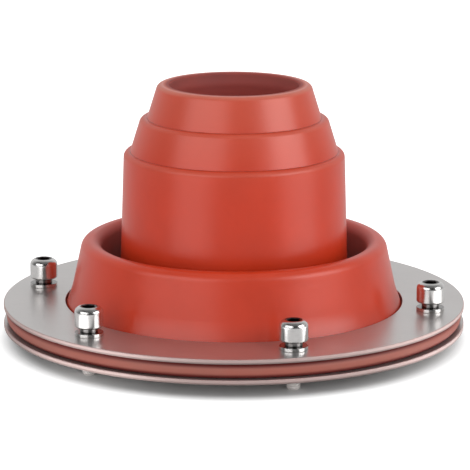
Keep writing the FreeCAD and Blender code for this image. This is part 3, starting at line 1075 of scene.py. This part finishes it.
class STOVE_JACK_OT_boot(bpy.types.Operator):
    """Turn the silicone boot from its section and drill its flange"""

    bl_idname = "stove_jack.boot"
    bl_label = "Silicone boot"

    def execute(self, context):
        scene = context.scene
        sizes = scene.jack_boot
        material = red_silicone(scene.jack_finishes, scene.jack_wear)
        corners, talced, talc_edge = boot_section(sizes)
        mesh = section_mesh("boot_section", rounded_section(corners, BOOT_GUARD, talced, talc_edge))
        steps = turned_steps(sizes.segments, scene.jack_fasteners, sizes.hole_diameter, material)
        make_piece("boot", "silicone_boot", "red_silicone", mesh, *steps)
        return {"FINISHED"}


class STOVE_JACK_OT_rings(bpy.types.Operator):
    """Turn the two clamp rings and drill their screw holes"""

    bl_idname = "stove_jack.rings"
    bl_label = "Clamp rings"

    def execute(self, context):
        scene = context.scene
        sizes = scene.jack_rings
        material = ring_steel(scene.jack_finishes, scene.jack_wear)
        rings = (
            ("clamp_ring_upper", "upper_ring", UPPER_LOW, UPPER_HIGH, sizes.upper_hole),
            ("clamp_ring_lower", "lower_ring", LOWER_LOW, LOWER_HIGH, sizes.lower_hole),
        )
        for name, node, low, high, hole in rings:
            edge = reach(high)
            corners = flat_section(low.z, high.z, edge - sizes.width, edge, sizes.edge_round)
            mesh = section_mesh(f"{name}_section", rounded_section(corners, RING_GUARD))
            steps = turned_steps(sizes.segments, scene.jack_fasteners, hole, material)
            make_piece(name, node, "ring_steel", mesh, *steps)
        return {"FINISHED"}


class STOVE_JACK_OT_screws(bpy.types.Operator):
    """Make one threaded cap screw and set it round the rings"""

    bl_idname = "stove_jack.screws"
    bl_label = "Cap screws"

    def execute(self, context):
        scene = context.scene
        sizes = scene.jack_fasteners
        material = fastener_steel(scene.jack_finishes, scene.jack_wear, sizes)
        step = repeated_step(sizes, material)
        make_piece("screws", "cap_screws", "fastener_steel", screw_mesh(sizes), step)
        return {"FINISHED"}


class STOVE_JACK_OT_flat_washers(bpy.types.Operator):
    """Turn one flat washer and set it round the rings"""

    bl_idname = "stove_jack.flat_washers"
    bl_label = "Flat washers"

    def execute(self, context):
        scene = context.scene
        sizes = scene.jack_fasteners
        material = fastener_steel(scene.jack_finishes, scene.jack_wear, sizes)
        bore = sizes.washer_hole / 2
        edge = WASHER_HIGH.x - pitch_circle(sizes)
        corners = flat_section(WASHER_LOW.z, WASHER_HIGH.z, bore, edge, sizes.edge_round)
        mesh = section_mesh("washer_section", rounded_section(corners, WASHER_GUARD))
        turned = {"Segments": sizes.washer_segments, "Material": material}
        steps = ((turned_tree(), turned), repeated_step(sizes, material))
        make_piece("washers_flat", "flat_washers", "fastener_steel", mesh, *steps)
        return {"FINISHED"}


def heading(side, elevation=0.0):
    """A direction at an angle from -Y towards +X, raised above the horizon."""
    raised = Vector((0.0, -math.cos(elevation), math.sin(elevation)))
    return Euler((0.0, 0.0, side)).to_matrix() @ raised


def make_camera(studio):
    """The photograph's camera: it aims at the pipe's axis and is then turned a little."""
    lens = bpy.data.cameras.new("photo_camera")
    lens.lens = studio.focal_length
    lens.clip_start = studio.clip_near
    lens.clip_end = studio.clip_far
    camera = new_object("photo_camera", lens)
    away = heading(studio.camera_bearing, studio.camera_elevation)
    camera.location = Vector((0.0, 0.0, studio.aim_height)) + away * studio.camera_distance
    aimed = (-away).to_track_quat("-Z", "Y")
    turned = Euler((studio.camera_tilt, studio.camera_yaw, studio.camera_roll)).to_quaternion()
    camera.rotation_euler = (aimed @ turned).to_euler()
    bpy.context.scene.camera = camera


def make_softbox(name, place, size, watts):
    """A rectangular lamp of (width, height) that faces the boot from a (side, elevation, distance)."""
    lamp = bpy.data.lights.new(name, "AREA")
    lamp.shape = "RECTANGLE"
    lamp.size, lamp.size_y = size
    lamp.energy = watts
    softbox = new_object(name, lamp)
    side, elevation, distance = place
    away = heading(side, elevation)
    softbox.location = Vector((0.0, 0.0, BOOT_HIGH.z / 2)) + away * distance
    softbox.rotation_euler = (-away).to_track_quat("-Z", "Y").to_euler()
    softbox.visible_camera = False
    return softbox


def make_lamps(studio):
    """Two softboxes that show as gloss, a matt key from the right and a lamp overhead."""
    front = studio.camera_bearing
    softboxes = (
        ("softbox_left", studio.softbox_left, studio.left_width, studio.left_power),
        ("softbox_right", studio.softbox_right, studio.right_width, studio.right_power),
    )
    for name, side, width, watts in softboxes:
        place = (front + side, studio.softbox_elevation, studio.softbox_distance)
        softbox = make_softbox(name, place, (width, studio.softbox_height), watts)
        softbox.visible_diffuse = False
    place = (front + studio.key_side, studio.key_elevation, studio.softbox_distance)
    key = make_softbox("key", place, (studio.right_width, studio.softbox_height), studio.key_power)
    key.visible_glossy = False
    place = (front + studio.top_side, studio.top_elevation, studio.top_size)
    make_softbox("overhead", place, (studio.top_size, studio.top_size), studio.top_power)


def ray_kind(tree, kind):
    """1 for rays of a kind, such as Is Camera Ray, and 0 for others."""
    return Wire.node(tree, "ShaderNodeLightPath", {}, {}, kind)


def seen_directly(tree):
    """1 for rays from the camera, also through something clear, and 0 for others."""
    return ray_kind(tree, "Is Camera Ray") + ray_kind(tree, "Is Transmission Ray")


def make_room(studio):
    """A white room to the camera, darker in front for reflections, and an even light on the rest."""
    world = bpy.data.worlds.get("room") or bpy.data.worlds.new("room")
    bpy.context.scene.world = world
    world.use_nodes = True
    tree = world.node_tree
    tree.nodes.clear()
    direction = Wire.node(tree, "ShaderNodeTexCoord", {}, {}, "Generated")
    facing = dot(tree, direction, heading(studio.camera_bearing))
    mirrored = facing.ramp(REAR_COSINE, FRONT_COSINE, studio.bright_rear, studio.dark_front)
    ambient = direction.part("Z").ramp(0.0, 1.0, studio.ambient, studio.ceiling)
    level = ambient + (1.0 - ambient) * seen_directly(tree)
    level = level + (mirrored - ambient) * ray_kind(tree, "Is Glossy Ray")
    white = rgba((1.0, 1.0, 1.0))
    light = Wire.node(tree, "ShaderNodeBackground", {}, {"Color": white, "Strength": level})
    Wire.node(tree, "ShaderNodeOutputWorld", {}, {"Surface": light})


def floor_paper(studio):
    """White paper that keeps the shadow under the rings and is plain white farther out."""
    material, tree = new_material("studio_floor")
    place = object_place(tree)
    direction = Wire.node(tree, "ShaderNodeVectorMath", {"operation": "NORMALIZE"}, {0: place})
    shine = studio.floor_gloss
    pool = (math.cos(studio.pool_outer), math.cos(studio.pool_inner))
    for side in (studio.softbox_left, studio.softbox_right):
        facing = dot(tree, direction, heading(studio.camera_bearing + side))
        shine = facing.ramp(*pool, top=studio.floor_pools) + shine
    seen = seen_directly(tree) + shine * ray_kind(tree, "Is Glossy Ray")
    edge = reach(LOWER_HIGH)
    shadow = (studio.shadow_inner * edge, studio.shadow_outer * edge)
    lift = from_axis(tree, place).ramp(*shadow, top=studio.floor_lift)
    white = rgba((1.0, 1.0, 1.0), studio.floor_white)
    paper = Wire.node(tree, "ShaderNodeBsdfDiffuse", {}, {"Color": white})
    glow = Wire.node(tree, "ShaderNodeEmission", {}, {"Strength": seen * lift})
    lit = Wire.node(tree, "ShaderNodeAddShader", {}, {0: paper, 1: glow})
    Wire.node(tree, "ShaderNodeOutputMaterial", {}, {"Surface": lit})
    return material


def make_floor(studio):
    """A wide floor of white paper under the screws' ends."""
    half = studio.floor_reach
    corners = [(-half, -half, 0.0), (half, -half, 0.0), (half, half, 0.0), (-half, half, 0.0)]
    mesh = bpy.data.meshes.new("studio_floor")
    mesh.from_pydata(corners, [], [(0, 1, 2, 3)])
    mesh.materials.append(floor_paper(studio))
    floor = new_object("studio_floor", mesh)


class STOVE_JACK_OT_stage(bpy.types.Operator):
    """Set up the floor, the room, the lamps and the photograph's camera"""

    bl_idname = "stove_jack.stage"
    bl_label = "Studio"

    def execute(self, context):
        studio = context.scene.jack_studio
        context.scene.view_settings.view_transform = "Standard"
        make_room(studio)
        make_floor(studio)
        make_lamps(studio)
        make_camera(studio)
        return {"FINISHED"}


class STOVE_JACK_PT_panel(bpy.types.Panel):
    """Sizes, colours and the steps that make the stove jack"""

    bl_idname = "STOVE_JACK_PT_panel"
    bl_label = "Stove jack"
    bl_space_type = "VIEW_3D"
    bl_region_type = "UI"
    bl_category = "Stove jack"

    def draw(self, context):
        for label, group in SETTINGS.items():
            box = self.layout.box()
            box.label(text=group.__doc__)
            settings = getattr(context.scene, label)
            for name in group.__annotations__:
                box.prop(settings, name)
        for operator in OPERATORS:
            self.layout.operator(operator.bl_idname)


SETTINGS = {
    "jack_boot": BootSizes,
    "jack_rings": RingSizes,
    "jack_fasteners": FastenerSizes,
    "jack_finishes": Finishes,
    "jack_wear": WearSizes,
    "jack_studio": StudioSettings,
}
OPERATORS = (
    STOVE_JACK_OT_boot,
    STOVE_JACK_OT_rings,
    STOVE_JACK_OT_screws,
    STOVE_JACK_OT_flat_washers,
    STOVE_JACK_OT_stage,
)


def register():
    """Add the settings, the operators and the panel to Blender."""
    for label, group in SETTINGS.items():
        bpy.utils.register_class(group)
        setattr(bpy.types.Scene, label, PointerProperty(type=group))
    for operator in OPERATORS:
        bpy.utils.register_class(operator)
    bpy.utils.register_class(STOVE_JACK_PT_panel)


def unregister():
    """Take them out again."""
    bpy.utils.unregister_class(STOVE_JACK_PT_panel)
    for operator in reversed(OPERATORS):
        bpy.utils.unregister_class(operator)
    for label, group in reversed(SETTINGS.items()):
        delattr(bpy.types.Scene, label)
        bpy.utils.unregister_class(group)


def main():
    """Make every piece and the stage."""
    register()
    bpy.ops.stove_jack.boot()
    bpy.ops.stove_jack.rings()
    bpy.ops.stove_jack.screws()
    bpy.ops.stove_jack.flat_washers()
    bpy.ops.stove_jack.stage()


if __name__ == "__main__":
    main()
